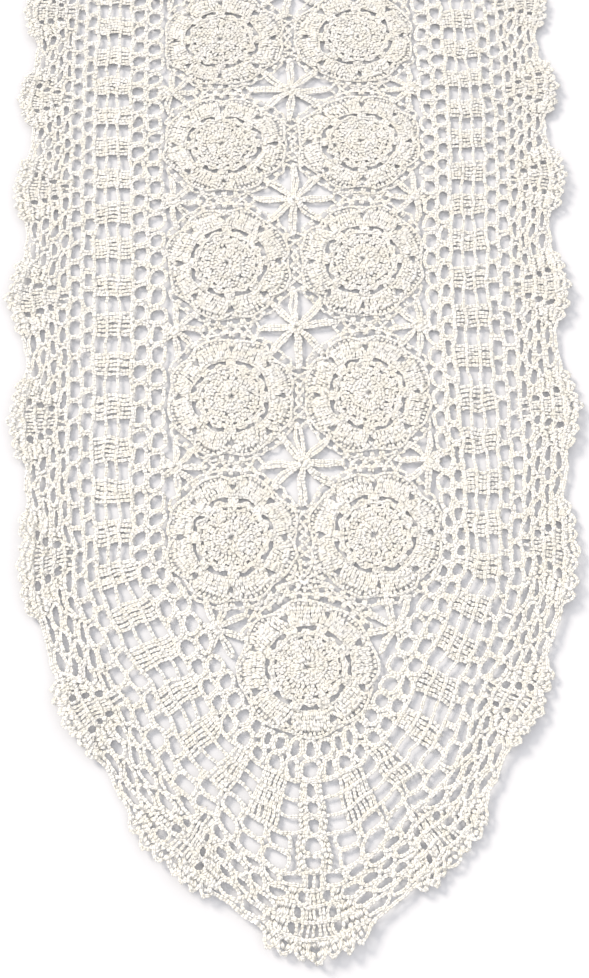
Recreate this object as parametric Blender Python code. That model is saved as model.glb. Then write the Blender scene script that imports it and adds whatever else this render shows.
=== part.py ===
import math

import bmesh
import bpy
from mathutils.geometry import delaunay_2d_cdt

# Crochet table runner: two columns of round medallions with one more at each end, star fillings
# between them, and a border of net, ladder, net and scallops. It lies flat, long side along Y,
# origin in the middle of its underside. All sizes are in metres.

MEDALLION_ACROSS = 0.0995
MEDALLION_ALONG = 0.107
MEDALLION_RADIUS = 0.047
PAIR_ROWS = 7
END_STEP = 0.0923

THICKNESS = 0.0020
STAR_HUB_HEIGHT = 0.0025

# The border is laid out from a centre line along its ladder round. It is counted in ladder
# repeats from the near tip, and outwards from the line.
LADDER_OFFSET = 0.083
REPEATS_A_SIDE = 36
PANEL_EDGE = -0.036
TURN_BLEND = 0.035

# Scallop centres, in ladder repeats from the tip, the same on both sides.
SCALLOP_REPEATS = (0, 1.8, 4.5, 7.6, 10.7, 13.7, 16.7, 19.6, 22.5, 25.4, 28.4, 31.5, 34.2, 36)

# Near the tips the repeats have crept this share of a repeat towards the tip.
TIP_CREEP = 0.20
TIP_CREEP_IN = (0.0, 2.5)
TIP_CREEP_OUT = (9.5, 12.5)

# How far the border is pulled out, against its own width on the long sides.
# repeats from the tip, stretch
BORDER_STRETCH = (
    (0.0, 1.22),
    (0.5, 1.21),
    (1.8, 0.97),
    (2.5, 1.0),
    (4.5, 0.97),
    (5.4, 1.0),
    (6.3, 0.95),
    (7.7, 0.86),
    (9.2, 0.96),
    (12.5, 1.0),
)

# One scallop from the middle of a valley to just before the next one.
# share of the scallop's pitch, distance out from the ladder line
SCALLOP_EDGE = (
    (-0.50, 0.0630),
    (-0.40, 0.0620),
    (-0.31, 0.0635),
    (-0.26, 0.0695),
    (-0.19, 0.0725),
    (-0.11, 0.0715),
    (-0.04, 0.0760),
    (0.04, 0.0760),
    (0.11, 0.0715),
    (0.19, 0.0725),
    (0.26, 0.0695),
    (0.31, 0.0635),
    (0.40, 0.0620),
)

# Gaps of the border, one of each kind for each ladder repeat. The centre and the half length are
# in repeats, and the shoulder is the share of the length that is left at the two long edges.
INNER_NET_GAP = {"centre": 0.0, "half": 0.39, "inner": -0.0330, "outer": -0.0165, "shoulder": 0.62}
LADDER_WINDOW = {"centre": 0.5, "half": 0.20, "inner": -0.0033, "outer": 0.0033, "shoulder": 1.0}
OUTER_NET_GAP = {"centre": 0.5, "half": 0.39, "inner": 0.0165, "outer": 0.0295, "shoulder": 0.62}

# A narrow column stands on the axis at each tip, with a wider ladder window close by on both sides.
TIP_WINDOW_CENTRE = 0.37
TIP_WINDOW_HALF = 0.23

STAR_SPOKES = 8
STAR_HUB = 0.0075
STAR_SPOKE = 0.0044
STAR_REACH_ACROSS = 0.027
STAR_REACH_ALONG = 0.031
SIDE_STAR_HUB = 0.0060
SIDE_STAR_SPOKE = 0.0036
SIDE_STAR_REACH = 0.021
SIDE_STAR_OFFSET = 0.0405

# Relief of a medallion, in rings of points: the worked disc, its lace edge, the slots round it
# and the petals. Odd points of a ring lie between two petals.
# radius, points, height at a petal's middle, height between two petals
MEDALLION_RINGS = (
    (0.0145, 8, 0.0024, 0.0024),
    (0.0265, 16, 0.0026, 0.0022),
    (0.0300, 16, 0.0012, 0.0020),
    (0.0365, 16, 0.0027, 0.0019),
    (0.0440, 16, 0.0023, 0.0017),
)
MEDALLION_CENTRE_HEIGHT = 0.0021
PETAL_TURN = math.pi / 8

# The lie of the cloth: the columns stand apart near the middle and the borders a little more, the
# middle rows have slipped along, the borders lie to the left of the medallions, most so where the
# cloth isn't spread, and one stretch of the left edge bulges.
SPREAD = 0.0063
BORDER_SPREAD = 0.0025
SPREAD_START = -0.190
SPREAD_FULL = 0.060
SPREAD_FADE = 0.250
SPREAD_END = 0.430
SPREAD_WIDTH = 0.045
SLIP = 0.0065
SLIP_CENTRE = -0.050
SLIP_HALF = 0.160
BORDER_SHIFT = -0.0040
BORDER_SHIFT_FROM = 0.090
BORDER_SHIFT_TO = 0.130
LEFT_BULGE = 0.0050
LEFT_BULGE_CENTRE = -0.120
LEFT_BULGE_HALF = 0.100
LEFT_BULGE_FROM = 0.150
LEFT_BULGE_TO = 0.205
SCALLOP_UNEVEN = 0.0012
SCALLOP_UNEVEN_STEP = 2.3

COTTON_COLOUR = (0.93, 0.90, 0.83, 1.0)
COTTON_ROUGHNESS = 0.85

SAME_POINT = 1e-7

HALF_ACROSS = MEDALLION_ACROSS / 2
LAST_PAIR = MEDALLION_ALONG * (PAIR_ROWS - 1) / 2
SINGLE = LAST_PAIR + END_STEP
SLANT = math.hypot(HALF_ACROSS, END_STEP)
TIP_TURN = math.atan2(END_STEP, HALF_ACROSS)
TIP_ARC = LADDER_OFFSET * TIP_TURN
CORNER_ARC = LADDER_OFFSET * (math.pi / 2 - TIP_TURN)
SIDE_START = TIP_ARC + SLANT + CORNER_ARC
SIDE_LENGTH = 2 * (SIDE_START + LAST_PAIR)
REPEAT = SIDE_LENGTH / REPEATS_A_SIDE
SCALLOPS_A_SIDE = len(SCALLOP_REPEATS) - 1
SCALLOP_VALLEY = min(out for _, out in SCALLOP_EDGE)
SCALLOP_TOP = max(out for _, out in SCALLOP_EDGE)


def smooth_step(value, low, high):
    share = min(1.0, max(0.0, (value - low) / (high - low)))
    return share * share * (3 - 2 * share)


def table_value(rows, value):
    if value <= rows[0][0]:
        return rows[0][1]
    for (low, first), (high, second) in zip(rows, rows[1:]):
        if value <= high:
            return first + (second - first) * (value - low) / (high - low)
    return rows[-1][1]


def hump(value, centre, half):
    away = abs(value - centre) / half
    return math.cos(away * math.pi / 2) ** 2 if away < 1 else 0.0


def lie(x, y):
    # where a point of the regular pattern lies on the table
    spread = smooth_step(y, SPREAD_START, SPREAD_FULL) * (1 - smooth_step(y, SPREAD_FADE, SPREAD_END))
    side = math.copysign(1.0, x)
    border = smooth_step(abs(x), BORDER_SHIFT_FROM, BORDER_SHIFT_TO)
    across = side * SPREAD * spread * smooth_step(abs(x), 0.0, SPREAD_WIDTH)
    across += border * (BORDER_SHIFT + (1 + side) * BORDER_SPREAD * spread)
    bulge = smooth_step(-x, LEFT_BULGE_FROM, LEFT_BULGE_TO)
    across -= LEFT_BULGE * bulge * hump(y, LEFT_BULGE_CENTRE, LEFT_BULGE_HALF)
    return x + across, y + SLIP * hump(y, SLIP_CENTRE, SLIP_HALF)


def normal_turn(length):
    # angle of the ladder line's outward normal, from the tip's axis, at a length from the tip
    if length < 0:
        return -normal_turn(-length)
    if length > SIDE_LENGTH / 2:
        return math.pi - normal_turn(SIDE_LENGTH - length)
    if length < TIP_ARC:
        return length / LADDER_OFFSET
    if length < TIP_ARC + SLANT:
        return TIP_TURN
    return min(math.pi / 2, TIP_TURN + (length - TIP_ARC - SLANT) / LADDER_OFFSET)


def blended_turn(length):
    steps = 8
    offsets = [TURN_BLEND * (2 * i / steps - 1) for i in range(steps + 1)]
    return sum(normal_turn(length + offset) for offset in offsets) / len(offsets)


def ladder_line(length):
    if length > SIDE_LENGTH / 2:
        x, y = ladder_line(SIDE_LENGTH - length)
        return x, -y
    turn = normal_turn(length)
    reach_x = LADDER_OFFSET * math.sin(turn)
    reach_y = -LADDER_OFFSET * math.cos(turn)
    if length < TIP_ARC:
        return reach_x, -SINGLE + reach_y
    if length < TIP_ARC + SLANT:
        share = (length - TIP_ARC) / SLANT
        return HALF_ACROSS * share + reach_x, -SINGLE + END_STEP * share + reach_y
    beyond = max(0.0, length - SIDE_START)
    return HALF_ACROSS + reach_x, -LAST_PAIR + beyond + reach_y


def border_point(repeats, out):
    # repeats run from the near tip up the right side and down the left side
    total = 2 * REPEATS_A_SIDE
    repeats = repeats % total
    side = 1
    if repeats > REPEATS_A_SIDE:
        repeats = total - repeats
        side = -1
    from_tip = min(repeats, REPEATS_A_SIDE - repeats)
    creep = TIP_CREEP * smooth_step(from_tip, *TIP_CREEP_IN) * (1 - smooth_step(from_tip, *TIP_CREEP_OUT))
    length = (repeats - math.copysign(creep, REPEATS_A_SIDE / 2 - repeats)) * REPEAT
    x, y = ladder_line(length)
    turn = blended_turn(length)
    distance = PANEL_EDGE + (out - PANEL_EDGE) * table_value(BORDER_STRETCH, from_tip)
    x += math.sin(turn) * distance
    y -= math.cos(turn) * distance
    return side * max(x, 0.0), y


def scallop_repeats(scallop):
    total = 2 * SCALLOPS_A_SIDE
    scallop = scallop % total
    if scallop > SCALLOPS_A_SIDE:
        return 2 * REPEATS_A_SIDE - scallop_repeats(total - scallop)
    low = min(int(scallop), SCALLOPS_A_SIDE - 1)
    first, second = SCALLOP_REPEATS[low:low + 2]
    return first + (second - first) * (scallop - low)


def outline():
    points = []
    for scallop in range(2 * SCALLOPS_A_SIDE):
        uneven = SCALLOP_UNEVEN * math.sin(SCALLOP_UNEVEN_STEP * scallop)
        for share, out in SCALLOP_EDGE:
            fullness = (out - SCALLOP_VALLEY) / (SCALLOP_TOP - SCALLOP_VALLEY)
            points.append(border_point(scallop_repeats(scallop + share), out + uneven * fullness))
    return points


def border_gap(centre, half, gap):
    middle = (gap["inner"] + gap["outer"]) / 2
    corner = half * gap["shoulder"]
    if gap["shoulder"] == 1.0:
        sides = ((-half, gap["inner"]), (half, gap["inner"]), (half, gap["outer"]), (-half, gap["outer"]))
    else:
        sides = ((-half, middle), (-corner, gap["inner"]), (corner, gap["inner"]),
                 (half, middle), (corner, gap["outer"]), (-corner, gap["outer"]))
    return [border_point(centre + along, out) for along, out in sides]


def border_gaps():
    gaps = []
    for repeat in range(2 * REPEATS_A_SIDE):
        for gap in (INNER_NET_GAP, OUTER_NET_GAP):
            gaps.append(border_gap(repeat + gap["centre"], gap["half"], gap))
        from_tip = repeat % REPEATS_A_SIDE
        if from_tip == 0:
            gaps.append(border_gap(repeat + TIP_WINDOW_CENTRE, TIP_WINDOW_HALF, LADDER_WINDOW))
        elif from_tip == REPEATS_A_SIDE - 1:
            gaps.append(border_gap(repeat + 1 - TIP_WINDOW_CENTRE, TIP_WINDOW_HALF, LADDER_WINDOW))
        else:
            gaps.append(border_gap(repeat + LADDER_WINDOW["centre"], LADDER_WINDOW["half"], LADDER_WINDOW))
    return gaps


def medallion_centres():
    centres = [(side * HALF_ACROSS, -LAST_PAIR + row * MEDALLION_ALONG)
               for row in range(PAIR_ROWS) for side in (-1, 1)]
    return centres + [(0.0, -SINGLE), (0.0, SINGLE)]


def clear_distance(origin, angle, reach):
    # distance from a star's centre to the nearest medallion's rim, at most reach
    step_x = math.cos(angle)
    step_y = math.sin(angle)
    clear = reach
    for centre_x, centre_y in medallion_centres():
        to_x = centre_x - origin[0]
        to_y = centre_y - origin[1]
        along = to_x * step_x + to_y * step_y
        off = abs(to_x * step_y - to_y * step_x)
        if along > 0 and off < MEDALLION_RADIUS:
            clear = min(clear, along - math.sqrt(MEDALLION_RADIUS ** 2 - off ** 2))
    return clear


def wedge(origin, start, end, hub, spoke, reach):
    # gap between two spokes of a star, which lie at the angles start and end
    middle = (start + end) / 2
    points = [(origin[0] + hub * math.cos(middle), origin[1] + hub * math.sin(middle))]
    outer_points = 4
    for i in range(outer_points):
        share = i / (outer_points - 1)
        inset = spoke / 2 / reach(start + (end - start) * share)
        angle = start + inset + (end - start - 2 * inset) * share
        distance = clear_distance(origin, angle, reach(angle))
        inset = spoke / 2 / distance
        angle = start + inset + (end - start - 2 * inset) * share
        points.append((origin[0] + distance * math.cos(angle), origin[1] + distance * math.sin(angle)))
    return points


def star_reach(angle):
    return math.hypot(STAR_REACH_ACROSS * math.cos(angle), STAR_REACH_ALONG * math.sin(angle))


def side_star_reach(angle):
    return SIDE_STAR_REACH


def star_centres():
    return [(0.0, -LAST_PAIR + (row + 0.5) * MEDALLION_ALONG) for row in range(PAIR_ROWS - 1)]


def side_stars():
    # centre of each star beside the columns, and the angle that faces the middle of the runner
    stars = []
    across = HALF_ACROSS + SIDE_STAR_OFFSET
    for _, y in star_centres():
        stars += [((across, y), math.pi), ((-across, y), 0.0)]
    out_x = math.sin(TIP_TURN) * SIDE_STAR_OFFSET
    out_y = math.cos(TIP_TURN) * SIDE_STAR_OFFSET
    for side in (-1, 1):
        for end in (-1, 1):
            centre = (side * (HALF_ACROSS / 2 + out_x), end * (SINGLE - END_STEP / 2 + out_y))
            stars.append((centre, math.atan2(-end * out_y, -side * out_x)))
    return stars


def star_gaps():
    gaps = []
    turn = math.tau / STAR_SPOKES
    for centre in star_centres():
        gaps += [wedge(centre, i * turn, (i + 1) * turn, STAR_HUB, STAR_SPOKE, star_reach)
                 for i in range(STAR_SPOKES)]
    for centre, inwards in side_stars():
        for start in (inwards - turn, inwards):
            gaps.append(wedge(centre, start, start + turn, SIDE_STAR_HUB, SIDE_STAR_SPOKE,
                              side_star_reach))
    return gaps


def relief_points():
    points = [(x, y, STAR_HUB_HEIGHT) for x, y in star_centres()]
    points += [(x, y, STAR_HUB_HEIGHT) for (x, y), _ in side_stars()]
    for centre_x, centre_y in medallion_centres():
        points.append((centre_x, centre_y, MEDALLION_CENTRE_HEIGHT))
        for radius, count, petal_height, between_height in MEDALLION_RINGS:
            for i in range(count):
                angle = math.tau * i / count + PETAL_TURN
                height = petal_height if i % 2 == 0 else between_height
                points.append((centre_x + radius * math.cos(angle),
                               centre_y + radius * math.sin(angle), height))
    return points


def inside(point, loop):
    x, y = point
    odd = False
    for (x0, y0), (x1, y1) in zip(loop, loop[1:] + loop[:1]):
        if (y0 > y) != (y1 > y) and x < x0 + (x1 - x0) * (y - y0) / (y1 - y0):
            odd = not odd
    return odd


def triangulate(loops, extra):
    # triangles between the first loop and the others, which are gaps, through the extra points
    flat = [point for loop in loops for point in loop]
    edges = []
    start = 0
    for loop in loops:
        edges += [(start + i, start + (i + 1) % len(loop)) for i in range(len(loop))]
        start += len(loop)
    points, _, triangles, origins, _, _ = delaunay_2d_cdt(flat + extra, edges, [], 1, SAME_POINT)
    if len(points) != len(flat) + len(extra):
        raise ValueError("two edges of the crochet cross")
    order = [origin[0] for origin in origins]
    boxes = [(min(x for x, _ in loop), max(x for x, _ in loop), min(y for _, y in loop),
              max(y for _, y in loop), loop) for loop in loops[1:]]
    kept = []
    for triangle in triangles:
        middle_x = sum(points[i][0] for i in triangle) / 3
        middle_y = sum(points[i][1] for i in triangle) / 3
        near = [loop for x0, x1, y0, y1, loop in boxes if x0 < middle_x < x1 and y0 < middle_y < y1]
        if inside((middle_x, middle_y), loops[0]) and not any(inside((middle_x, middle_y), loop)
                                                              for loop in near):
            kept.append([order[i] for i in triangle])
    return kept


def cloth_mesh():
    loops = [[lie(x, y) for x, y in loop] for loop in [outline()] + border_gaps() + star_gaps()]
    relief = [(*lie(x, y), height) for x, y, height in relief_points()]
    top_faces = triangulate(loops, [(x, y) for x, y, _ in relief])
    bottom_faces = triangulate(loops, [])
    mesh = bmesh.new()
    rim = [point for loop in loops for point in loop]
    top = [mesh.verts.new((x, y, THICKNESS)) for x, y in rim]
    top += [mesh.verts.new(point) for point in relief]
    bottom = [mesh.verts.new((x, y, 0.0)) for x, y in rim]
    for face in top_faces:
        mesh.faces.new([top[i] for i in face])
    for face in bottom_faces:
        mesh.faces.new([bottom[i] for i in reversed(face)])
    start = 0
    for loop in loops:
        for i in range(len(loop)):
            first = start + i
            second = start + (i + 1) % len(loop)
            mesh.faces.new((top[first], top[second], bottom[second], bottom[first]))
        start += len(loop)
    bmesh.ops.recalc_face_normals(mesh, faces=mesh.faces)
    bmesh.ops.triangulate(mesh, faces=mesh.faces)
    return mesh


def cotton_material():
    material = bpy.data.materials.new("cotton")
    material.use_nodes = True
    shader = material.node_tree.nodes["Principled BSDF"]
    shader.inputs["Base Color"].default_value = COTTON_COLOUR
    shader.inputs["Roughness"].default_value = COTTON_ROUGHNESS
    shader.inputs["Metallic"].default_value = 0.0
    return material


def make_runner():
    data = bpy.data.meshes.new("runner")
    mesh = cloth_mesh()
    mesh.to_mesh(data)
    mesh.free()
    data.materials.append(cotton_material())
    runner = bpy.data.objects.new("runner", data)
    bpy.context.scene.collection.objects.link(runner)
    return runner


for old in list(bpy.data.objects):
    bpy.data.objects.remove(old, do_unlink=True)
make_runner()
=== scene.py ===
import math
from functools import partial

import bpy
import numpy as np
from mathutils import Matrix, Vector


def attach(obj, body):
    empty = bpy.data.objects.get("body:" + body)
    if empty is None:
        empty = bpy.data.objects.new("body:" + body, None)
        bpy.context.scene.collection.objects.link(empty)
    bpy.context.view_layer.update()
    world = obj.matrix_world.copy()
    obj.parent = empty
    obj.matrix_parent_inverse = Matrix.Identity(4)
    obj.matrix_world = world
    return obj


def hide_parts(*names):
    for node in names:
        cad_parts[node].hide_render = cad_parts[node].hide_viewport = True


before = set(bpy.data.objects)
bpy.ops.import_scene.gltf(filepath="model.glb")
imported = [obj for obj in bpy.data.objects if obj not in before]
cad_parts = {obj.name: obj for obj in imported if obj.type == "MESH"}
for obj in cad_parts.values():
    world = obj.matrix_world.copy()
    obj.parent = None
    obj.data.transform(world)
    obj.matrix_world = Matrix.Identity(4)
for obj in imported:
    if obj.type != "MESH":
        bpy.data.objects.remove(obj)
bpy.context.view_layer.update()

# A crochet table runner lying flat. The pattern is worked out in millimetres on a regular plan, then
# laid on the table as the cloth in the photo lies, and Geometry Nodes set a stitch of real yarn on
# every point of it.

plan = {
    "across": 99.5, "along": 107.0, "pairRows": 7, "endStep": 92.3,     # medallion centres
    "rim": 47.0,                # medallion radius
    "ladderOffset": 83.0,       # from the outer medallions' centres to the ladder's middle line
    "panelEdge": -36.0,         # where the border starts, counted outwards from that line
    "turnBlend": 35.0,          # how far ahead and behind the rows begin to turn a corner
    "repeats": 36,              # ladder repeats from tip to tip
    # repeats that the border has crept towards the nearer tip, and where that sets in and ends
    "creep": 0.20, "creepIn": (0.0, 2.5), "creepOut": (9.5, 12.5),
    # width of the border against its plan, by repeats from the tip
    "stretchAt": (0.0, 0.5, 1.8, 2.5, 4.5, 5.4, 6.3, 7.7, 9.2, 12.5),
    "stretch": (1.22, 1.21, 0.97, 1.0, 0.97, 1.0, 0.95, 0.86, 0.96, 1.0),
    # middles of the scallops, in repeats
    "scallops": (0, 1.8, 4.5, 7.6, 10.7, 13.7, 16.7, 19.6, 22.5, 25.4, 28.4, 31.5, 34.2, 36),
}

cloth = {
    # mm that the two columns lie spread apart, and the right border with them; then the y where that
    # sets in and ends, and how far from the middle line it is full
    "spread": 6.3, "borderSpread": 2.5, "spreadFrom": (-190, 60), "spreadTo": (250, 430),
    "spreadWidth": 45,
    "slip": 6.5, "slipCentre": -50, "slipHalf": 160,        # the middle rows have slipped along
    "borderShift": -4.0, "borderShiftFrom": (90, 130),      # the borders have shifted to the left
    "bulge": 5.0, "bulgeCentre": -120, "bulgeHalf": 100, "bulgeFrom": (150, 205),   # at the left edge
    "wander": 0.40,             # mm that each of a few slow waves moves the stitches to and fro
    "waves": 9, "wavePace": (0.09, 0.50),       # how many, and radians in a mm
    "waviness": 0.35,           # mm that the cloth rises and falls
    "ripple": (23, 37), "rippleStart": 1.1,     # its pace across and along
    "rise": 0.9,                # mm that the whole cloth is raised
    "edgeLift": 2.6,            # mm that the scallops curl up from the table
    "liftFrom": (38, 74), "liftUneven": 0.5, "liftPace": 1.9,   # mm outwards; how unevenly, and its pace
    "seed": 11,
}

# mm above the cloth's underside at which strands lie, where one lies over another
height = {"backing": 0.9, "lattice": 1.2, "post": 1.3, "foot": 1.4, "row": 1.5, "top": 1.6,
          "line": 1.7, "over": 1.8, "arch": 1.9}

across, along, rim = plan["across"], plan["along"], plan["rim"]
halfAcross = across / 2
lastPair = along * (plan["pairRows"] - 1) / 2
single = lastPair + plan["endStep"]
slant = math.hypot(halfAcross, plan["endStep"])
tipTurn = math.atan2(plan["endStep"], halfAcross)
tipArc = plan["ladderOffset"] * tipTurn
cornerArc = plan["ladderOffset"] * (math.pi / 2 - tipTurn)
sideStart = tipArc + slant + cornerArc
sideLength = 2 * (sideStart + lastPair)
repeats = plan["repeats"]
repeatLength = sideLength / repeats
scallopCount = 2 * (len(plan["scallops"]) - 1)

rng = np.random.default_rng(cloth["seed"])
waves = [(rng.uniform(0, math.tau), rng.uniform(0, math.tau), rng.uniform(*cloth["wavePace"]),
          rng.uniform(0, math.tau)) for _ in range(cloth["waves"])]     # heading, turn, pace, phase


def smoothStep(value, low, high):
    share = np.clip((value - low) / (high - low), 0, 1)
    return share * share * (3 - 2 * share)


def hump(value, centre, half):
    away = np.clip(np.abs(value - centre) / half, 0, 1)
    return np.cos(away * math.pi / 2) ** 2


def onTable(points):
    # pattern millimetres to metres on the table
    x, y, z = points[..., 0], points[..., 1], points[..., 2]
    spread = smoothStep(y, *cloth["spreadFrom"]) * (1 - smoothStep(y, *cloth["spreadTo"]))
    side = np.where(x < 0, -1.0, 1.0)
    border = smoothStep(np.abs(x), *cloth["borderShiftFrom"])
    shift = side * cloth["spread"] * spread * smoothStep(np.abs(x), 0, cloth["spreadWidth"])
    shift = shift + border * (cloth["borderShift"] + (1 + side) * cloth["borderSpread"] * spread)
    shift = shift - (cloth["bulge"] * smoothStep(-x, *cloth["bulgeFrom"])
                     * hump(y, cloth["bulgeCentre"], cloth["bulgeHalf"]))
    slip = cloth["slip"] * hump(y, cloth["slipCentre"], cloth["slipHalf"])
    for heading, turn, pace, phase in waves:
        way = (x * math.cos(heading) + y * math.sin(heading)) * pace + phase
        shift = shift + cloth["wander"] * math.cos(turn) * np.sin(way)
        slip = slip + cloth["wander"] * math.sin(turn) * np.sin(way)
    rippleX, rippleY = cloth["ripple"]
    ripple = np.sin(x / rippleX + cloth["rippleStart"]) * np.sin(y / rippleY)
    lift = cloth["rise"] + cloth["waviness"] * (1 + ripple)
    return np.stack([x + shift, y + slip, z + lift], axis=-1) * 0.001


# The border is laid out from the ladder's middle line: k counts ladder repeats from the near tip, up
# the right side to the far tip at 36 and down the left, and out is the distance outwards.

def normalTurn(length):
    stops = [-tipArc - slant, -tipArc, tipArc, tipArc + slant, sideStart, sideLength - sideStart,
             sideLength - tipArc - slant, sideLength - tipArc]
    turns = [-tipTurn, -tipTurn, tipTurn, tipTurn, math.pi / 2, math.pi / 2, math.pi - tipTurn,
             math.pi - tipTurn]
    past = (length - sideLength + tipArc) / plan["ladderOffset"]
    return np.interp(length, stops, turns) + np.maximum(past, 0)


def ladderTable(count=8000, blends=9):
    # the middle line in small steps: length, place, and a direction averaged over the corners
    length = np.linspace(0, sideLength, count + 1)
    turn = normalTurn(length)
    step = sideLength / count
    x = np.concatenate([[0], np.cumsum((np.cos(turn[1:]) + np.cos(turn[:-1])) / 2 * step)])
    y = np.concatenate([[0], np.cumsum((np.sin(turn[1:]) + np.sin(turn[:-1])) / 2 * step)])
    offsets = np.linspace(-plan["turnBlend"], plan["turnBlend"], blends)
    blended = np.mean([normalTurn(length + offset) for offset in offsets], axis=0)
    return length, x, y - single - plan["ladderOffset"], blended


lineLength, lineX, lineY, lineTurn = ladderTable()


def onBorder(k, out, z=1.0):
    k, out, z = np.broadcast_arrays(*[np.asarray(value, float) for value in (k, out, z)])
    k = np.mod(k, 2 * repeats)
    side = np.where(k > repeats, -1.0, 1.0)
    k = np.where(k > repeats, 2 * repeats - k, k)
    fromTip = np.minimum(k, repeats - k)
    creep = (smoothStep(fromTip, *plan["creepIn"]) * (1 - smoothStep(fromTip, *plan["creepOut"]))
             * plan["creep"])
    length = (k - np.copysign(creep, repeats / 2 - k)) * repeatLength
    turn = np.interp(length, lineLength, lineTurn)
    stretch = np.interp(fromTip, plan["stretchAt"], plan["stretch"])
    away = plan["panelEdge"] + (out - plan["panelEdge"]) * stretch
    x = np.interp(length, lineLength, lineX) + np.sin(turn) * away
    y = np.interp(length, lineLength, lineY) - np.cos(turn) * away
    uneven = 1 + cloth["liftUneven"] * np.sin(k * cloth["liftPace"] + side)
    curl = cloth["edgeLift"] * smoothStep(out, *cloth["liftFrom"]) * uneven
    return np.stack([side * np.maximum(x, 0), y, z + curl], axis=-1)


def scallopK(scallop):
    # scallops counted from the near tip to ladder repeats
    half = len(plan["scallops"]) - 1
    scallop = np.mod(scallop, 2 * half)
    mirrored = np.where(scallop > half, 2 * half - scallop, scallop)
    k = np.interp(mirrored, np.arange(half + 1), plan["scallops"])
    return np.where(scallop > half, 2 * repeats - k, k)


# Work in hand: chains are rows of points that stitches follow, stubs are single short stitches.

def newWork():
    return {"chains": [], "stubs": []}


def addChain(work, points, girth):
    work["chains"].append((points, girth))


def addStubs(work, feet, tops, girth):
    pairs = np.stack([np.reshape(feet, (-1, 3)), np.reshape(tops, (-1, 3))], axis=1)
    work["stubs"] += [(pair, girth) for pair in pairs]


def addRungs(work, feet, tops, bow, girth):
    # chains from foot to top, each bowed to one side by a few tenths of a millimetre
    up = np.linspace(0, 1, 5)[:, None]
    for foot, top, out in zip(feet, tops, bow):
        aside = np.array([top[1] - foot[1], foot[0] - top[0], 0.0]) / np.linalg.norm(top - foot)
        addChain(work, foot + (top - foot) * up + aside * out * 4 * up * (1 - up), girth)


def workMesh(name, work):
    points, edges, girths, kinds = [], [], [], []
    start = 0
    for kind, key in enumerate(("chains", "stubs")):
        for row, girth in work[key]:
            count = len(row)
            points.append(row)
            first = np.arange(start, start + count - 1)
            edges.append(np.stack([first, first + 1], axis=1))
            girths.append(np.full(count, girth))
            kinds.append(np.full(count - 1, kind))
            start += count
    data = bpy.data.meshes.new(name)
    placed = onTable(np.concatenate(points))
    data.vertices.add(len(placed))
    data.vertices.foreach_set("co", placed.ravel())
    edges, kinds = np.concatenate(edges), np.concatenate(kinds)
    data.edges.add(len(edges))
    data.edges.foreach_set("vertices", edges.ravel().astype(np.int32))
    data.attributes.new("girth", "FLOAT", "POINT").data.foreach_set("value", np.concatenate(girths))
    data.attributes.new("kind", "INT", "EDGE").data.foreach_set("value", kinds.astype(np.int32))
    data.update()
    return data


def addObject(name, data):
    made = bpy.data.objects.new(name, data)
    bpy.context.scene.collection.objects.link(made)
    return made


# One stitch, a unit wide and a unit between its neighbours, made of two plies that taper to both ends.

stitchShape = {
    # foot, middle and top of a ply: x, y, z and radius
    "ply": ((-0.08, -1.25, -0.10, 0), (-0.24, -0.05, 0.05, 0.32), (-0.10, 1.15, -0.02, 0)),
    "second": 0.94,     # length of the second ply against the first
    "span": 2.4,        # how many units a stitch is long
    "sides": 3, "flatness": 0.44,
    # what an unevenness of 1 does: turn in radians, share of the size, and shift in metres
    "turns": (0.06, 0.20, 0.15), "sizes": (0.12, 0.06, 0.12),
    "chainShift": (0.00022, 0.00022, 0.00018), "stubShift": (0.00024, 0.00024, 0.0002),
}


def makeStitch(name):
    # two closed spindles that mirror each other; u runs round each, v along it
    sides, flatness = stitchShape["sides"], stitchShape["flatness"]
    points, faces, uvs = [], [], []
    for side, reach in ((1, 1), (-1, stitchShape["second"])):
        start = len(points)
        for x, y, z, radius in stitchShape["ply"]:
            for j in range(sides if radius else 1):
                angle = math.tau * (j / sides + 1 / 12)
                points.append((side * x + radius * math.cos(angle), y * reach,
                               z + flatness * radius * math.sin(angle)))
        last = len(points) - 1
        for j in range(sides):
            a, b = start + 1 + j, start + 1 + (j + 1) % sides
            u0, u1 = j / sides, (j + 1) / sides
            faces += [(start, a, b), (last, b, a)]
            uvs += [((u0, 0), (u0, 0.5), (u1, 0.5)), ((u0, 1), (u1, 0.5), (u0, 0.5))]
    data = bpy.data.meshes.new(name)
    data.from_pydata(points, [], faces)
    data.uv_layers.new(name="yarn").data.foreach_set("uv", np.ravel(uvs))
    data.polygons.foreach_set("use_smooth", [True] * len(data.polygons))
    return addObject(name, data)


stitch = makeStitch("stitch")


# Node trees

def addNode(tree, kind, settings=None, links=None):
    node = tree.nodes.new(kind)
    for name, value in (settings or {}).items():
        setattr(node, name, value)
    for socket, value in (links or {}).items():
        target = node.inputs[socket]
        if isinstance(value, bpy.types.NodeSocket):
            tree.links.new(value, target)
        else:
            target.default_value = value
    return node


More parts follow.
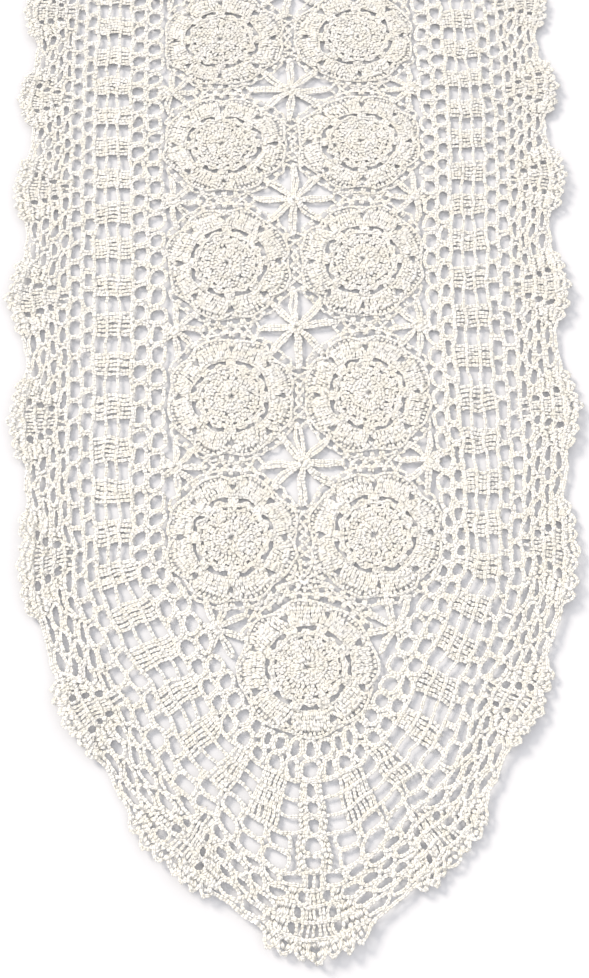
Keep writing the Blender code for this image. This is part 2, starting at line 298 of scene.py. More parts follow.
def stitchTree():
    tree = bpy.data.node_groups.new("crochetStitches", "GeometryNodeTree")
    face = tree.interface
    face.new_socket("Geometry", in_out="INPUT", socket_type="NodeSocketGeometry")
    for name, kind in (("Stitch length", "Float"), ("Chain width", "Float"), ("Stub width", "Float"),
                       ("Unevenness", "Float"), ("Seed", "Int"), ("Stitch", "Object"),
                       ("Yarn", "Material")):
        face.new_socket(name, in_out="INPUT", socket_type="NodeSocket" + kind)
    face.new_socket("Geometry", in_out="OUTPUT", socket_type="NodeSocketGeometry")
    given = tree.nodes.new("NodeGroupInput").outputs
    up = (0.0, 0.0, 1.0)
    add = partial(addNode, tree)
    kind = add("GeometryNodeInputNamedAttribute", {"data_type": "INT"}, {"Name": "kind"}).outputs[0]
    girth = add("GeometryNodeInputNamedAttribute", {"data_type": "FLOAT"}, {"Name": "girth"}).outputs[0]

    def isKind(number):
        settings = {"data_type": "INT", "operation": "EQUAL"}
        return add("FunctionNodeCompare", settings, {2: kind, 3: number}).outputs[0]

    def wobble(number, reach):
        # a random vector within reach times the unevenness
        seed = add("ShaderNodeMath", {"operation": "ADD"}, {0: given["Seed"], 1: float(number)})
        raw = add("FunctionNodeRandomValue", {"data_type": "FLOAT_VECTOR"},
                  {0: tuple(-r for r in reach), 1: reach, "Seed": seed.outputs[0]})
        links = {0: raw.outputs[0], "Scale": given["Unevenness"]}
        return add("ShaderNodeVectorMath", {"operation": "SCALE"}, links).outputs[0]

    def turned(heading, number):
        axes = {"primary_axis": "Y", "secondary_axis": "Z"}
        straight = add("FunctionNodeAxesToRotation", axes, {0: heading, 1: up})
        lean = add("FunctionNodeEulerToRotation", None, {0: wobble(number, stitchShape["turns"])})
        links = {0: straight.outputs[0], 1: lean.outputs[0]}
        return add("FunctionNodeRotateRotation", {"rotation_space": "LOCAL"}, links).outputs[0]

    def sized(width, length, number):
        wide = add("ShaderNodeMath", {"operation": "MULTIPLY"}, {0: width, 1: girth}).outputs[0]
        size = add("ShaderNodeCombineXYZ", None, {0: wide, 1: length, 2: wide})
        links = {0: wobble(number, stitchShape["sizes"]), 1: (1.0, 1.0, 1.0)}
        vary = add("ShaderNodeVectorMath", {"operation": "ADD"}, links)
        links = {0: size.outputs[0], 1: vary.outputs[0]}
        return add("ShaderNodeVectorMath", {"operation": "MULTIPLY"}, links).outputs[0]

    one = add("GeometryNodeObjectInfo", None, {"Object": given["Stitch"]}).outputs["Geometry"]

    # chains: points a stitch apart along each row, a stitch on each
    rows = add("GeometryNodeMeshToCurve", None, {"Mesh": given["Geometry"], "Selection": isKind(0)})
    spaced = add("GeometryNodeResampleCurve", {"mode": "LENGTH"},
                 {"Curve": rows.outputs[0], "Length": given["Stitch length"]})
    moved = add("GeometryNodeSetPosition", None,
                {"Geometry": spaced.outputs[0], "Offset": wobble(1, stitchShape["chainShift"])})
    spline = add("GeometryNodeSplineLength")
    gaps = add("ShaderNodeMath", {"operation": "SUBTRACT"}, {0: spline.outputs["Point Count"], 1: 1.0})
    atLeast = add("ShaderNodeMath", {"operation": "MAXIMUM"}, {0: gaps.outputs[0], 1: 1.0})
    pitch = add("ShaderNodeMath", {"operation": "DIVIDE"},
                {0: spline.outputs["Length"], 1: atLeast.outputs[0]})
    heading = add("GeometryNodeInputTangent")
    chains = add("GeometryNodeInstanceOnPoints", None, {
        "Points": moved.outputs[0], "Instance": one, "Rotation": turned(heading.outputs[0], 2),
        "Scale": sized(given["Chain width"], pitch.outputs[0], 3)})

    # stubs: one stitch along each edge
    ends = add("GeometryNodeInputMeshEdgeVertices").outputs
    reach = add("ShaderNodeVectorMath", {"operation": "SUBTRACT"},
                {0: ends["Position 2"], 1: ends["Position 1"]})
    kept = add("GeometryNodeCaptureAttribute", {"domain": "EDGE"})
    kept.capture_items.new("VECTOR", "Reach")
    tree.links.new(given["Geometry"], kept.inputs["Geometry"])
    tree.links.new(reach.outputs[0], kept.inputs["Reach"])
    length = add("ShaderNodeVectorMath", {"operation": "LENGTH"}, {0: kept.outputs["Reach"]})
    spots = add("GeometryNodeMeshToPoints", {"mode": "EDGES"},
                {"Mesh": kept.outputs["Geometry"], "Selection": isKind(1)})
    nudged = add("GeometryNodeSetPosition", None,
                 {"Geometry": spots.outputs[0], "Offset": wobble(4, stitchShape["stubShift"])})
    stubs = add("GeometryNodeInstanceOnPoints", None, {
        "Points": nudged.outputs[0], "Instance": one, "Rotation": turned(kept.outputs["Reach"], 5),
        "Scale": sized(given["Stub width"], length.outputs["Value"], 6)})
    joined = tree.nodes.new("GeometryNodeJoinGeometry")
    for part in (chains, stubs):
        tree.links.new(part.outputs[0], joined.inputs[0])
    real = add("GeometryNodeRealizeInstances", None, {"Geometry": joined.outputs[0]})
    clad = add("GeometryNodeSetMaterial", None, {"Geometry": real.outputs[0], "Material": given["Yarn"]})
    tree.links.new(clad.outputs[0], tree.nodes.new("NodeGroupOutput").inputs[0])
    return tree


def linear(code):
    # sRGB hex to linear
    channels = [int(code[i:i + 2], 16) / 255 for i in (1, 3, 5)]
    return tuple(c / 12.92 if c <= 0.04045 else ((c + 0.055) / 1.055) ** 2.4 for c in channels) + (1.0,)


yarnLook = {
    "light": "#fdfaf3", "warm": "#faf5e8",      # bleached cotton, warmer where the thread bunches
    "patch": 7.0,                               # mm, size of the warmer patches
    "patchEdges": (0.38, 0.60), "patchDetail": 3.0,
    "twist": 2.0, "plyTurns": 3.0,              # ply ridges round the yarn and along a stitch
    "ridge": 0.12, "ridgeDepth": 0.0002,        # strength, and depth in metres
    "surface": {"Roughness": 0.82, "IOR": 1.5, "Sheen Weight": 0.25, "Sheen Roughness": 0.5},
    "through": 0.38,                            # share of the light that comes through
    "fuzz": 0.7,                                # how far the shading leans towards straight up
}


def yarnMaterial():
    # mercerised cotton yarn: soft white with a faint sheen, ridged by its twisted plies
    material = bpy.data.materials.new("mercerised cotton yarn")
    material.use_nodes = True
    tree = material.node_tree
    shader = tree.nodes["Principled BSDF"]
    add = partial(addNode, tree)
    place = add("ShaderNodeTexCoord").outputs["Object"]
    patches = add("ShaderNodeTexNoise", None, {
        "Vector": place, "Scale": 1000 / yarnLook["patch"], "Detail": yarnLook["patchDetail"]})
    tint = add("ShaderNodeValToRGB", None, {"Fac": patches.outputs["Fac"]})
    for i, colour in enumerate(("warm", "light")):
        tint.color_ramp.elements[i].position = yarnLook["patchEdges"][i]
        tint.color_ramp.elements[i].color = linear(yarnLook[colour])
    tree.links.new(tint.outputs["Color"], shader.inputs["Base Color"])
    around = add("ShaderNodeUVMap", {"uv_map": "yarn"})
    split = add("ShaderNodeSeparateXYZ", None, {0: around.outputs[0]})
    turns = add("ShaderNodeMath", {"operation": "MULTIPLY"},
                {0: split.outputs[0], 1: yarnLook["twist"]})
    runs = add("ShaderNodeMath", {"operation": "MULTIPLY_ADD"},
               {0: split.outputs[1], 1: yarnLook["plyTurns"], 2: turns.outputs[0]})
    angle = add("ShaderNodeMath", {"operation": "MULTIPLY"}, {0: runs.outputs[0], 1: math.tau})
    ridges = add("ShaderNodeMath", {"operation": "SINE"}, {0: angle.outputs[0]})
    # loose fibres scatter the light evenly, so the shading follows the round of the yarn only partly
    real = add("ShaderNodeNewGeometry").outputs["Normal"]
    leant = add("ShaderNodeMix", {"data_type": "VECTOR"},
                {0: yarnLook["fuzz"], 4: real, 5: (0.0, 0.0, 1.0)})
    soft = add("ShaderNodeVectorMath", {"operation": "NORMALIZE"}, {0: leant.outputs[1]}).outputs[0]
    bump = add("ShaderNodeBump", None, {
        "Height": ridges.outputs[0], "Strength": yarnLook["ridge"], "Distance": yarnLook["ridgeDepth"],
        "Normal": soft})
    tree.links.new(bump.outputs[0], shader.inputs["Normal"])
    for socket, value in yarnLook["surface"].items():
        shader.inputs[socket].default_value = value
    # light also comes through the thin yarn, so the gaps between stitches aren't black
    through = add("ShaderNodeBsdfTranslucent", None, {"Color": tint.outputs["Color"], "Normal": soft})
    both = add("ShaderNodeMixShader", None,
               {0: yarnLook["through"], 1: shader.outputs[0], 2: through.outputs[0]})
    tree.links.new(both.outputs[0], tree.nodes["Material Output"].inputs["Surface"])
    return material


tree = stitchTree()
yarn = yarnMaterial()


def crochet(name, work, settings):
    # one piece of the cloth, stitched along its plan
    holder = addObject(name + "Plan", workMesh(name + "Plan", work))
    modifier = holder.modifiers.new("stitches", "NODES")
    modifier.node_group = tree
    values = {**settings, "Stitch": stitch, "Yarn": yarn}
    for item in tree.interface.items_tree:
        if item.item_type == "SOCKET" and item.in_out == "INPUT" and item.name in values:
            modifier[item.identifier] = values[item.name]
    holder.update_tag()
    bpy.context.view_layer.update()
    depsgraph = bpy.context.evaluated_depsgraph_get()
    shown = holder.evaluated_get(depsgraph)
    mesh = bpy.data.meshes.new_from_object(shown, preserve_all_data_layers=True, depsgraph=depsgraph)
    holder.modifiers.remove(modifier)
    bpy.data.objects.remove(holder, do_unlink=True)
    mesh.name = name
    piece = addObject(name, mesh)
    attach(piece, "root")
    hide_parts("runner")
    print(name, "crocheted,", sum(len(face.vertices) - 2 for face in mesh.polygons), "triangles")


# Medallions

medallion = {
    "petals": 8, "holes": 16,
    # rows of stitches like spokes: radius, length, count, turn in stitches, and girth
    "disc": ((3.6, 5.6, 14, 0.0, 0.70), (6.6, 6.0, 14, 0.0, 1.05), (8.4, 6.0, 14, 0.5, 1.00),
             (9.8, 4.6, 28, 0.25, 0.85), (11.8, 4.4, 32, 0.0, 1.05), (16.4, 4.4, 36, 0.0, 1.10),
             (18.2, 4.4, 36, 0.5, 1.10)),
    "discLean": 0.08,
    # chains under the rows, and chains that close them: radius and girth
    "backing": ((5.2, 0.8), (8.0, 0.8), (10.6, 0.9), (17.4, 0.9)),
    "rings": ((19.4, 0.8), (23.2, 1.05)),
    # pairs of stitches with holes between: radius, length, radians off the middle, girth
    "pairs": ((14.4, 4.8, 0.085, 0.98), (21.0, 5.2, 0.066, 1.05)),
    "shellValley": 24.2, "shellTop": 26.3, "shellHalf": 0.155,
    "shellStitch": (4, 4.6, 1.0, 1.0),      # count, length, mm inside the edge, girth
    # posts between two petals: radians off the middle, then extra length, lean and girth
    "posts": (-0.105, -0.035, 0.035, 0.105), "postStitch": (1.5, 0.15, 1.0),
    # rows of a petal: radius, count and half angle, then length, lean and girth
    "petalRows": ((31.6, 11, 0.362), (33.8, 11, 0.350), (36.2, 11, 0.316), (38.6, 11, 0.294),
                  (41.0, 11, 0.276)),
    "petalStitch": (6.0, 0.05, 1.0),
    "petalTop": 47.0, "petalSide": 40.9, "petalCurve": 2.6, "petalFoot": 29.8, "footDip": 0.9,
    "petalFringe": (10, 0.325, 4.4, 0.88),      # open outermost row: count, half angle, length, girth
    "petalInsets": (4.0, 2.4, 0.3),             # mm inside the edge: rows, fringe and edge chain
    "outer": 45.6, "outerSwing": 1.4,
    "chainGirths": {"shell": 0.85, "foot": 0.85, "edge": 0.95, "outer": 0.9},
    # one stitch against the next: radians, mm along the row, share of the length, mm of radius
    "unevenLean": 0.11, "unevenStep": 0.18, "unevenLength": (0.9, 1.12), "unevenRadius": 0.2,
    "unevenTurn": 0.03, "unevenOval": 0.006,    # one medallion against the next: radians, share
    "seed": 5,
}


def polar(radius, angle, z):
    return np.stack(np.broadcast_arrays(radius * np.cos(angle), radius * np.sin(angle), z), axis=-1)


def ring(radius, z, points, wave=0.0, waves=0):
    angle = np.linspace(0, math.tau, points + 1)
    return polar(radius + wave * np.cos(waves * angle), angle, z)


def scales(radius, angle, length, lean, girth, draw):
    # short stitches at a radius that lean to one side and the other by turns
    m, count = medallion, len(angle)
    angle = angle + draw.normal(0, m["unevenStep"], count) / radius
    leans = lean * np.where(np.arange(count) % 2 == 0, 1.0, -1.0)
    leans = leans + draw.normal(0, m["unevenLean"], count)
    half = length * draw.uniform(*m["unevenLength"], (count, 1)) / stitchShape["span"] / 2
    middle = polar(radius + draw.normal(0, m["unevenRadius"], count), angle, height["row"])
    reach = half * polar(1.0, angle + leans, 0.0)
    return ("stubs", middle - reach, middle + reach, girth)


def medallionParts(draw):
    # rows of one medallion with a petal's middle at angle 0: (kind, first, second, girth)
    m = medallion
    parts = []
    each = np.arange(m["holes"]) * math.tau / m["holes"]
    for radius, girth in m["backing"]:
        parts.append(("chains", ring(radius, height["backing"], 40), None, girth))
    for radius, length, count, turn, girth in m["disc"]:
        angles = (np.arange(count) + turn) * math.tau / count
        parts.append(scales(radius, angles, length, m["discLean"], girth, draw))
    for radius, length, step, girth in m["pairs"]:
        for side in (-1, 1):
            parts.append(scales(radius, each + side * step, length, 0.0, girth, draw))
    for radius, girth in m["rings"]:
        parts.append(("chains", ring(radius, height["line"], 64), None, girth))
    count, length, inset, girth = m["shellStitch"]
    for step in np.linspace(-1, 1, count):
        radius = m["shellValley"] + (m["shellTop"] - m["shellValley"]) * (1 - step ** 2) - inset
        parts.append(scales(radius, each + step * m["shellHalf"], length, 0.0, girth, draw))
    swing = (m["shellTop"] - m["shellValley"]) / 2
    shell = ring(m["shellTop"] - swing, height["arch"], 96, swing, m["holes"])
    parts.append(("chains", shell, None, m["chainGirths"]["shell"]))
    return parts


def petalParts(draw):
    # the ring of petals, hung from the shells and held together by an outer chain
    m = medallion
    parts = []
    eighth = math.tau / m["petals"]
    middles = np.arange(m["petals"]) * eighth
    joints = middles + eighth / 2
    length, lean, girth = m["petalStitch"]
    rowInset, fringeInset, edgeInset = m["petalInsets"]
    girths = m["chainGirths"]
    gap = m["petalFoot"] - m["shellValley"]
    extra, postLean, postGirth = m["postStitch"]
    for step in m["posts"]:
        parts.append(scales(m["shellValley"] + gap / 2, joints + step, gap + extra, postLean, postGirth,
                            draw))
    sweep = np.linspace(-1, 1, 9)
    sweepEdge = np.linspace(-eighth / 2, eighth / 2, 17)
    count, half, fringe, fringeGirth = m["petalFringe"]

    def outline(angle):
        fall = np.abs(angle / eighth * 2) ** m["petalCurve"]
        return m["petalTop"] - (m["petalTop"] - m["petalSide"]) * fall

    for middle in middles:
        foot = polar(m["petalFoot"] - m["footDip"] * sweep ** 2, middle + sweep * eighth / 2,
                     height["row"])
        parts.append(("chains", foot, None, girths["foot"]))
        for radius, rowCount, rowHalf in m["petalRows"]:
            angles = np.linspace(-rowHalf, rowHalf, rowCount)
            radii = np.minimum(radius, outline(angles) - rowInset)
            parts.append(scales(radii, middle + angles, length, lean, girth, draw))
        angles = np.linspace(-half, half, count)
        parts.append(scales(outline(angles) - fringeInset, middle + angles, fringe, 0.0, fringeGirth,
                            draw))
        edge = polar(outline(sweepEdge) - edgeInset, middle + sweepEdge, height["over"])
        parts.append(("chains", edge, None, girths["edge"]))
    outer = ring(m["outer"], height["foot"], 96, m["outerSwing"], m["petals"])
    parts.append(("chains", outer, None, girths["outer"]))
    return parts


def medallionSpots():
    # centre and turn of each
    spots = [(side * halfAcross, -lastPair + row * along, math.pi / 8)
             for row in range(plan["pairRows"]) for side in (-1, 1)]
    return spots + [(0.0, -single, 0.0), (0.0, single, 0.0)]


def placeParts(work, parts, x, y, turn, oval):
    # oval is the share by which a medallion is stretched across and squeezed along
    rot = np.array([[math.cos(turn), -math.sin(turn)], [math.sin(turn), math.cos(turn)]])

    def placed(points):
        flat = points[..., :2] @ rot.T * np.array([1 + oval, 1 - oval])
        return np.concatenate([flat + np.array([x, y]), points[..., 2:]], axis=-1)

    for kind, firstEnd, secondEnd, girth in parts:
        if kind == "chains":
            addChain(work, placed(firstEnd), girth)
        else:
            addStubs(work, placed(firstEnd), placed(secondEnd), girth)


# The panel inside the border is made in three pieces, and each motif goes to the one it lies in.

panel = {
    # name, number of medallions, flat width and length in metres
    "pieces": (("panelNear", 5, 0.199, 0.300), ("panelMiddle", 6, 0.199, 0.321),
               ("panelFar", 5, 0.199, 0.300)),
    "yarn": {"Stitch length": 0.0023, "Chain width": 0.0022, "Stub width": 0.0026,
             "Unevenness": 1.3, "Seed": 21},
}
panelWork = [newWork() for _ in panel["pieces"]]


def panelAt(y):
    # the middle piece takes three rows, and the stars beyond them go to the others
    reach = lastPair - 1.5 * along - 1
    return panelWork[0 if y < -reach else 2 if y > reach else 1]


def makeMedallions():
    draw = np.random.default_rng(medallion["seed"])
    for x, y, turn in medallionSpots():
        sway, oval = draw.normal(0, medallion["unevenTurn"]), draw.normal(0, medallion["unevenOval"])
        placeParts(panelAt(y), medallionParts(draw), x, y, turn + sway, oval)
        placeParts(panelAt(y), petalParts(draw), x, y, turn + sway / 2, oval)
    print("medallions laid out")


# Stars and the small lattice between the medallions

star = {
    "spokes": 8, "across": 28.0, "along": 31.0,         # mm that spokes reach across and along
    "sideReach": 21.5, "sideOffset": 40.5,              # side stars: reach, and mm out from the centres
    "overlap": 1.6, "shortest": 2,                      # mm over a medallion's rim, and least length
    "hub": (2.9, 8), "sideHub": (2.6, 8),               # radius and stitches
    "hubStitch": (4.0, 0.1, 1.1), "hubLift": 0.2,       # length, lean and girth; mm
    "leaf": (3.3, 1.40), "sideLeaf": (2.5, 1.15),       # mm between a spoke's two strands, and girth
    "fullAt": (0, 0.25, 0.55, 0.85, 1), "full": (0.25, 0.85, 1.15, 0.85, 0.30),
    "drop": 0.5,                                        # mm that a spoke's end lies lower
    "unevenTurn": 0.06, "unevenBow": 0.9,               # radians off its place, and mm it is bowed
    "sideBow": 0.7,                                     # share of that bow in the side stars
    "seed": 8,
}

lattice = {
    "pitch": 9.0, "pairPitch": 8.0,         # mm from node to node, and within a pair of medallions
    "pairReach": (24, 21),                  # mm from the line of centres, and where a row is the last
    "columnReach": 22.5, "endReach": (-19, 22), "girth": 1.1,
    "archOut": 3.5, "archPitch": 9.0, "archHalf": 1.08,     # chain round a medallion: mm, mm, radians
    "archWave": 0.5, "archGirth": 0.95,
    "archPost": (0.4, 0.9, 0.018, 0.9),     # mm from rim and from chain, radians off the middle, girth
    # the three-cornered filling before a single medallion: mm past the last pair, then its rings
    "filling": 31.5, "fillingRings": (3.0, 6.8), "ringGirth": 0.85,
    "fillingSpokes": (9, 3.0, 16, 1.1),     # count, start, reach and girth
}


def clearReach(x, y, angle, reach):
    # how far a spoke runs before it meets a medallion
    stepX, stepY = math.cos(angle), math.sin(angle)
    clear = reach
    for centreX, centreY, _ in medallionSpots():
        toX, toY = centreX - x, centreY - y
        ahead = toX * stepX + toY * stepY
        off = abs(toX * stepY - toY * stepX)
        if ahead > 0 and off < rim:
            clear = min(clear, ahead - math.sqrt(rim ** 2 - off ** 2) + star["overlap"])
    return clear


def addSpoke(work, x, y, angle, start, reach, strands, gap, girth, bow=0.0):
    # strands that part in the middle like a leaf
    ahead = np.array([math.cos(angle), math.sin(angle)])
    aside = np.array([-ahead[1], ahead[0]])
    t = np.linspace(0, 1, 7)
    fullness = np.interp(t, star["fullAt"], star["full"])
    for i in range(strands):
        sideways = (i - (strands - 1) / 2) * gap * fullness + bow * 4 * t * (1 - t)
        line = np.outer(start + (reach - start) * t, ahead) + np.outer(sideways, aside) + [x, y]
        addChain(work, np.column_stack([line, height["over"] - star["drop"] * t]), girth)


def addHub(work, x, y, hub, draw):
    radius, count = hub
    angles = (np.arange(count) + 0.5) * math.tau / count
    _, feet, tops, girth = scales(radius, angles, *star["hubStitch"], draw)
    centre = [x, y, star["hubLift"]]
    addStubs(work, feet + centre, tops + centre, girth)


def addArches(work, x, y, angle):
    # a chain outside a medallion's rim, held to it by short stitches
    half = lattice["archHalf"]
    radius = rim + lattice["archOut"]
    count = round(2 * half * radius / lattice["archPitch"])
    sweep = np.linspace(-half, half, 12 * count + 1)
    wave = lattice["archWave"] * np.cos(math.tau * count * sweep / (2 * half))
    centre = np.array([x, y, 0])
    addChain(work, centre + polar(radius - wave, angle + sweep, height["row"]), lattice["archGirth"])
    joints = angle + np.linspace(-half, half, count + 1)
    over, under, aside, girth = lattice["archPost"]
    for step in (-aside, aside):
        feet = polar(rim + over, joints + step, height["foot"])
        tops = polar(radius - under, joints + step, height["foot"])
        addStubs(work, centre + feet, centre + tops, girth)


def starSpots():
    return [(0.0, -lastPair + (row + 0.5) * along) for row in range(plan["pairRows"] - 1)]


def sideStarSpots():
    # the stars against the border: centre, and the direction inwards
    spots, out = [], star["sideOffset"]
    for _, y in starSpots():
        spots += [(halfAcross + out, y, math.pi), (-halfAcross - out, y, 0.0)]
    outX, outY = math.sin(tipTurn) * out, math.cos(tipTurn) * out
    for side in (-1, 1):
        for end in (-1, 1):
            spots.append((side * (halfAcross / 2 + outX), end * (single - plan["endStep"] / 2 + outY),
                          math.atan2(-end * outY, -side * outX)))
    return spots


def addZigzag(work, nodes, rimsA, rimsB):
    # threads from the middle nodes to both rims and back
    for rims in (rimsA, rimsB):
        row = [nodes[0]]
        for edge, node in zip(rims, nodes[1:]):
            row += [edge, node]
        points = np.column_stack([np.array(row), np.full(len(row), height["lattice"])])
        addChain(work, points, lattice["girth"])


def addLattice(work, a, b, low, high, pitch, out=0.0):
    # lattice in the gap between two medallions, along the line midway between their centres
    a, b = np.array(a), np.array(b)
    middle = (a + b) / 2
    apart = np.linalg.norm(b - a)
    across = (b - a) / apart
    ahead = np.array([-across[1], across[0]])
    count = max(1, round((high - low) / pitch))
    stops = np.linspace(low, high, count + 1)
    between = (stops[1:] + stops[:-1]) / 2
    half = apart / 2 - np.sqrt(np.maximum((rim + out) ** 2 - between ** 2, 0))
    nodes = [middle + ahead * s for s in stops]
    rimsA = [middle + ahead * s - across * h for s, h in zip(between, half)]
    rimsB = [middle + ahead * s + across * h for s, h in zip(between, half)]
    addZigzag(work, nodes, rimsA, rimsB)


def makeStars():
    s = star
    draw = np.random.default_rng(s["seed"])
    for x, y in starSpots():
        work = panelAt(y)
        addHub(work, x, y, s["hub"], draw)
        for i in range(s["spokes"]):
            angle = i * math.tau / s["spokes"] + draw.normal(0, s["unevenTurn"])
            reach = math.hypot(s["across"] * math.cos(angle), s["along"] * math.sin(angle))
            addSpoke(work, x, y, angle, s["hub"][0], clearReach(x, y, angle, reach), 2, *s["leaf"],
                     draw.normal(0, s["unevenBow"]))
    for x, y, inwards in sideStarSpots():
        work = panelAt(y)
        addHub(work, x, y, s["sideHub"], draw)
        for i in range(s["spokes"]):
            angle = inwards + i * math.tau / s["spokes"] + draw.normal(0, s["unevenTurn"])
            reach = clearReach(x, y, angle, s["sideReach"])
            outwards = -math.cos(angle - inwards)
            if outwards > 0.1:      # as far as the border
                reach = min(reach, (rim - s["sideOffset"]) / outwards)
            start = min(s["sideHub"][0], reach - s["shortest"])
            addSpoke(work, x, y, angle, start, reach, 2, *s["sideLeaf"],
                     draw.normal(0, s["unevenBow"] * s["sideBow"]))
    print("stars laid out")


def makeLattice():
    rowY = [-lastPair + row * along for row in range(plan["pairRows"])]
    reach, lastReach = lattice["pairReach"]
    for y in rowY:
        low = -reach if y > rowY[0] else -lastReach
        high = reach if y < rowY[-1] else lastReach
        addLattice(panelAt(y), (-halfAcross, y), (halfAcross, y), low, high, lattice["pairPitch"])
    for x, y, _ in medallionSpots():
        for up in (-1, 1):
            if abs(y) < single - 1 or y * up < 0:       # not at the tips
                addArches(panelAt(y), x, y, up * math.pi / 2)
    pitch, out = lattice["pitch"], lattice["archOut"]
    for _, y in starSpots():
        for side in (-1, 1):
            x = side * halfAcross
            addLattice(panelAt(y), (x, y - along / 2), (x, y + along / 2), -lattice["columnReach"],
                       lattice["columnReach"], pitch, out)
    for end in (-1, 1):
        for side in (-1, 1):
            addLattice(panelAt(end * single), (side * halfAcross, end * lastPair), (0, end * single),
                       *lattice["endReach"], pitch, out)
        addCorner(0.0, end * (lastPair + lattice["filling"]), end * math.pi / 2)
    print("lattice laid out")


def addCorner(x, y, heading):
    # the three-cornered filling between the last pair and the single medallion
    work = panelAt(y)
    for radius in lattice["fillingRings"]:
        addChain(work, ring(radius, height["lattice"], 12) + np.array([x, y, 0.0]), lattice["ringGirth"])
    count, start, most, girth = lattice["fillingSpokes"]
    for i in range(count):
        angle = i * math.tau / count + heading
        addSpoke(work, x, y, angle, start, clearReach(x, y, angle, most), 1, 0, girth)


def makePanel():
    makeMedallions()
    makeStars()
    makeLattice()
    for (name, count, width, length), work in zip(panel["pieces"], panelWork):
        crochet(name, work, panel["yarn"])


# Border: net, ladder, net. A net is drawn as its holes, each with a chain round it, so two chains lie
# side by side between two holes.

border = {
    # out: middle of the holes; half, long: half height in mm, half length in repeats; at: repeats that
    # the row is set off; left, right: repeats that each side has slipped
    "nets": (
        {"name": "innerNet", "out": -30.2, "half": 5.35, "long": 0.218, "at": 0.0,
         "left": -0.19, "right": 0.0},
        {"name": "innerNet", "out": -19.1, "half": 5.15, "long": 0.218, "at": 0.25,
         "left": -0.03, "right": -0.08},
        {"name": "outerNet", "out": 18.3, "half": 4.4, "long": 0.226, "at": 0.25,
         "left": 0.10, "right": -0.08},
        {"name": "outerNet", "out": 27.6, "half": 4.4, "long": 0.226, "at": 0.0,
         "left": 0.08, "right": -0.08},
    ),
    "atFrom": (0.3, 3.0), "slipFrom": (0.5, 3.0),       # repeats from the tip over which both set in
    "firstOuter": (0.85, 0.05),         # first holes of the outer net: share of the length, repeats off
    # one hole against the next: repeats, shares of height and length, and tilt
    "unevenPlace": 0.012, "unevenHalf": (0.93, 1.05), "unevenLong": (0.92, 1.05), "unevenTilt": 0.01,
    "outerLine": (32.4, 0.9), "lineStep": 0.06,         # mm out and girth; repeats from point to point
    "squareness": {"innerNet": 0.75, "outerNet": 0.50},
    "girth": {"innerNet": 1.35, "outerNet": 1.05},
    "tilt": {"innerNet": 0.04, "outerNet": 0.015},      # repeats that holes lean on the left side
    "ladder": (-13.6, -4.5, 4.5, 13.6), "ladderGirth": 1.05,
    "blockHalf": 0.30, "tipBlock": (0.60, 1.30),        # repeats
    "rungPitch": 3.15, "rungBow": 0.6, "rungGirth": 1.12, "rungUneven": 0.006, "seed": 31,
    # down each tip: half length of the holes, and how far the posts stand from the middle, in repeats
    "spine": (0.135, 0.20), "spineRows": (-13.6, -4.5, 4.5, 13.6, 23.0, 32.2),
    "spineHole": (0.7, 0.6, 1.1),       # squareness, mm inside the rows, girth
    # its posts: shares of a row up, the two of a pair, and how much nearer they stand at the top
    "spineUp": (0.2, 0.5, 0.8), "spinePair": (-0.028, 0.034), "spineTaper": 0.03,
    "spinePost": (0.9, 0.012, 1.0),     # half length in mm, lean in repeats, girth
    "flats": {"innerNet": (0.0229, 2.10), "outerNet": (0.0194, 2.41), "ladder": (0.0285, 2.26)},
    "yarn": {"Stitch length": 0.0023, "Chain width": 0.0024, "Stub width": 0.0030,
             "Unevenness": 1.3, "Seed": 41},
}


def roundBorder(out, z):
    # a line all the way round
    k = np.linspace(0, 2 * repeats, round(2 * repeats / border["lineStep"]) + 1)
    return onBorder(k, out, z)


def holeLoop(squareness, count=20):
    # a closed loop from -1 to 1 both ways, round at 1 and square at 0
    angle = np.linspace(0, math.tau, count + 1)
    return (np.sign(np.cos(angle)) * np.abs(np.cos(angle)) ** squareness,
            np.sign(np.sin(angle)) * np.abs(np.sin(angle)) ** squareness)


def addNet(work, net):
    # holes are counted from both tips; close to a tip they line up with its spine
    b, name = border, net["name"]
    draw = np.random.default_rng(int(100 + net["out"]))
    ahead, away = holeLoop(b["squareness"][name])
    girth = b["girth"][name]
    for tip in (0, repeats):
        for side in (1, -1):
            for i in range(1, repeats + 1):
                fromTip = i / 2 + net["at"] * float(smoothStep(i / 2, *b["atFrom"]))
                if fromTip > repeats / 2 or (fromTip == repeats / 2 and side < 0):
                    continue
                k = tip + side * fromTip
                fade = float(smoothStep(fromTip, *b["slipFrom"]))
                left = k % (2 * repeats) > repeats
                k += fade * net["left" if left else "right"] + draw.normal(0, b["unevenPlace"])
                half = net["half"] * draw.uniform(*b["unevenHalf"])
                long = net["long"] * draw.uniform(*b["unevenLong"])
                if i == 1 and name == "outerNet":
                    share, off = b["firstOuter"]
                    long *= share
                    k += side * off
                tilt = b["tilt"][name] * left * fade + draw.normal(0, b["unevenTilt"])
                hole = onBorder(k + long * ahead + tilt * away, net["out"] + half * away, height["row"])
                addChain(work, hole, girth)
        if name == "innerNet":      # the hole on the tip's middle line
            hole = onBorder(tip + net["long"] * ahead, net["out"] + net["half"] * away, height["row"])
            addChain(work, hole, girth)


def halfHole(k, out):
    # points of half a hole in order from one end to the other, though k passes the tip
    order = np.argsort(out)
    return onBorder(k[order], out[order], height["top"])


